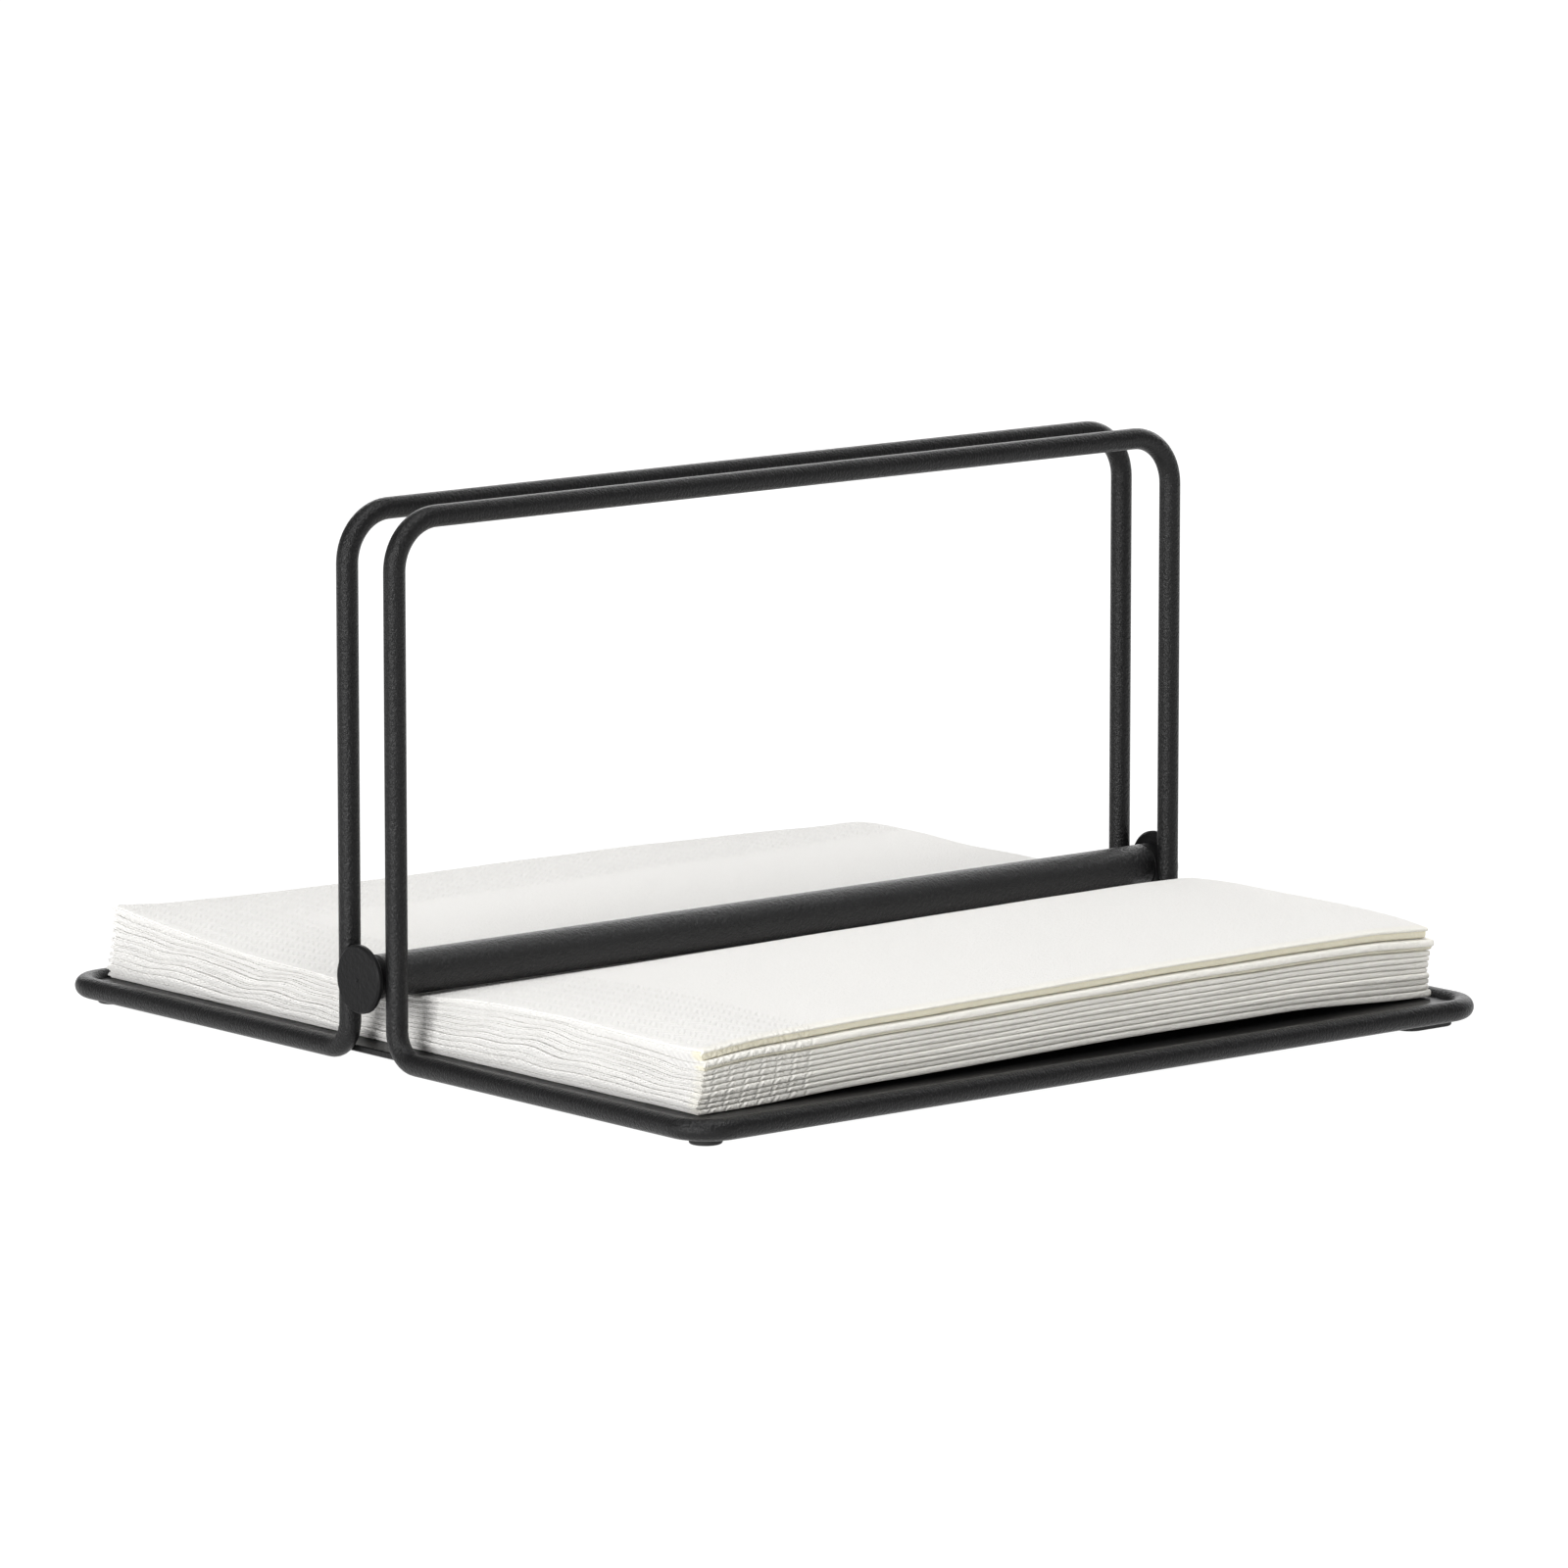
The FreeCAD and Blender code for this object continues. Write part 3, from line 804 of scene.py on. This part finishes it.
# %% [markdown]
# One sheet is folded in two steps. The angle phi turns it round the first fold, on the right,
# and theta round the second, at the front. share says how high a point lies inside its
# napkin, from 0 at the underside to 1 at the top. Every napkin then slips a little, its right
# end sits a touch in or out, and each of its four layers frays on its own at the cut edges.
# ripple(a, 0, ...) with a zero is a wave along one axis only.

# %% Fold a sheet
SLIP = (0.10, 0.10)
TIP_RANGE = (-0.35, 0.3)
TIP_LENGTH = 14
SHIFT_X = {1: 0.5, 9: 0.7}
SHIFT_Y = {9: -0.35, 10: 0.1}
LOOSE_X = 0.2
LOOSE_Y = 0.14
FRAY_SLOW = 0.14
FRAY_QUICK = 0.08
FRAY_REAR = 0.35
FRAY_LENGTH = 30
SPLAY_LENGTH = 60
# The share of painted cream shade that every front fold gets.
FOLD_PAINTED_SHADE = 0.22
FULL_TUCK = 0.7


def folded(number):
    """One folded sheet: points, sheet coordinates, layer spacing and how much painted fold shade
    each point gets.
    """
    chance = np.random.default_rng(500 + number)
    u, v = np.meshgrid(across_fold, along_fold, indexing="ij")
    first = 0.5 * ROLL
    phi = np.clip(u / first, -math.pi / 2, math.pi / 2)
    second = ROLL + 0.5 * ROLL * np.sin(phi)
    theta = np.clip(v / second, -math.pi / 2, math.pi / 2)
    share = 0.5 + np.sin(theta) * (1 + 0.5 * np.sin(phi)) / 4

    slip_x, slip_y = chance.uniform(-1, 1, 2) * SLIP
    tip = chance.uniform(*TIP_RANGE)
    slip_x += SHIFT_X.get(number, 0)
    slip_y += SHIFT_Y.get(number, 0)
    x = right_x - first + first * np.cos(phi) - np.maximum(abs(u) - first * math.pi / 2, 0)
    nose = np.maximum(np.cos(theta), 0) ** SQUARE_NOSE
    rear = np.maximum(abs(v) - second * math.pi / 2, 0)
    y = front_y + 1.5 * ROLL - second * nose + rear
    tuck, tuck_from, tuck_to = TUCKS.get(number, (0, 0.5, 0.6))
    under_flap = (1 - ease(share, tuck_from, tuck_to)) * (1 - ease(abs(v), 4, 50))
    y = y + tuck * under_flap * (0.35 + 0.65 * ease(x, left_x, left_x + 14))

    side = np.where(u >= 0, 1, 0) + np.where(v >= 0, 2, 0)
    pillowed = PILLOW * (2 * share - 1) ** 2
    frayed_x = np.zeros_like(x)
    frayed_y = np.zeros_like(y)
    for layer in range(4):
        here = side == layer
        seed = 1000 + 10 * number + layer
        slow = FRAY_SLOW * ripple(y, 0, seed, 30)
        quick = FRAY_QUICK * ripple(y, 0, seed + 500, 5)
        frayed_x[here] = (slow + quick - pillowed)[here]
        frayed_y[here] = (FRAY_REAR * ripple(x, 0, seed + 900, 30))[here]
    at_right = tip * ease(x, right_x - TIP_LENGTH, right_x)
    loose_x = LOOSE_X * ripple(y, 0, 60 + number, 60)
    x = x + slip_x + at_right + loose_x - frayed_x * ease(abs(u), HALF - FRAY_LENGTH, HALF)
    x = x - SPLAY.get(number, 0) * ease(abs(u), HALF - SPLAY_LENGTH, HALF)
    loose_y = LOOSE_Y * ripple(x, 0, 80 + number, 70)
    y = y + slip_y + loose_y + frayed_y * ease(abs(v), HALF - FRAY_LENGTH, HALF)
    under, over = napkin_sides(number, x, y)
    points = np.stack([x, y, under + (over - under) * share], axis=-1)
    in_the_fold = 1 - ease(abs(v), 1.2, 3)
    # Painted shade: cream on the nose of the front fold, stronger where a tuck lies under its flap,
    # standing in for light bounced inside the fold.
    fold_shade_amount = (FOLD_PAINTED_SHADE + (1 - FOLD_PAINTED_SHADE) * under_flap * min(tuck / FULL_TUCK, 1)) * in_the_fold
    return points, u, v, (over - under) / 4, fold_shade_amount


# %% [markdown]
# The paper fills most of the space that its layer has, and the torn fibres at a cut edge
# nearly all of it. The two sides of the sheet and a rim round it make one closed shell.

# %% Give a sheet its thickness
PAPER_SHARE = 0.80
FLUFF_SHARE = 0.17
FLUFF_LENGTH = 2.0
SHARP_DEGREES = 50


def paper(name, number, coat):
    """A closed thin sheet on both sides of the folded surface, with its flat place as UV."""
    points, u, v, spacing, fold_shade_amount = folded(number)
    along_u = np.gradient(points, axis=0)
    along_v = np.gradient(points, axis=1)
    normal = np.cross(along_u, along_v)
    normal /= np.linalg.norm(normal, axis=-1, keepdims=True)
    fluff = ease(np.maximum(abs(u), abs(v)), HALF - FLUFF_LENGTH, HALF)
    thickness = (spacing * (PAPER_SHARE + FLUFF_SHARE * fluff))[..., None]
    both = np.stack([points + normal * thickness / 2, points - normal * thickness / 2])
    rows, columns = u.shape
    index = np.arange(2 * rows * columns).reshape(2, rows, columns)

    def quads(grid):
        corners = [grid[:-1, :-1], grid[1:, :-1], grid[1:, 1:], grid[:-1, 1:]]
        return np.stack(corners, axis=-1).reshape(-1, 4)

    border = np.concatenate([index[:, :, 0], index[:, -1, 1:],
                             index[:, ::-1, -1][:, 1:], index[:, 0, -2:0:-1]], axis=1)
    rim = np.stack([border, np.roll(border, -1, axis=1)], axis=-1)
    edge = np.stack([rim[0, :, 1], rim[0, :, 0], rim[1, :, 0], rim[1, :, 1]], axis=-1)
    faces = np.concatenate([quads(index[0]), quads(index[1])[:, ::-1], edge])
    piece = plain_object(name, (both.reshape(-1, 3) * MM).tolist(), [], faces.tolist())
    flat = np.stack([u + HALF, v + HALF], axis=-1).reshape(-1, 2) * MM
    flat = np.concatenate([flat, flat])
    cut = piece.data.uv_layers.new(name="flat_sheet")
    cut.data.foreach_set("uv", flat[faces.ravel()].astype(np.float32).ravel())
    # The painted fold shade goes to the tissue material as a point attribute.
    painted_fold_shade = piece.data.attributes.new("painted_fold_shade", "FLOAT", "POINT")
    painted_fold_shade.data.foreach_set("value", np.tile(fold_shade_amount.ravel(), 2).astype(np.float32))
    piece.data.materials.append(coat)
    piece.data.shade_smooth()
    piece.data.set_sharp_from_angle(angle=math.radians(SHARP_DEGREES))
    return piece


body_of_napkin = {}
for body, members in frame["record"]["behaviour"]["bodies"].items():
    for member in members:
        body_of_napkin[member] = body
for number in range(1, NAPKINS + 1):
    napkin = paper(f"folded_napkin_{number}", number, tissue)
    place_piece(napkin, f"napkin_{number}", body_of_napkin[f"napkin_{number}"])
print("napkins:", NAPKINS, "triangles each:", 2 * len(napkin.data.polygons))
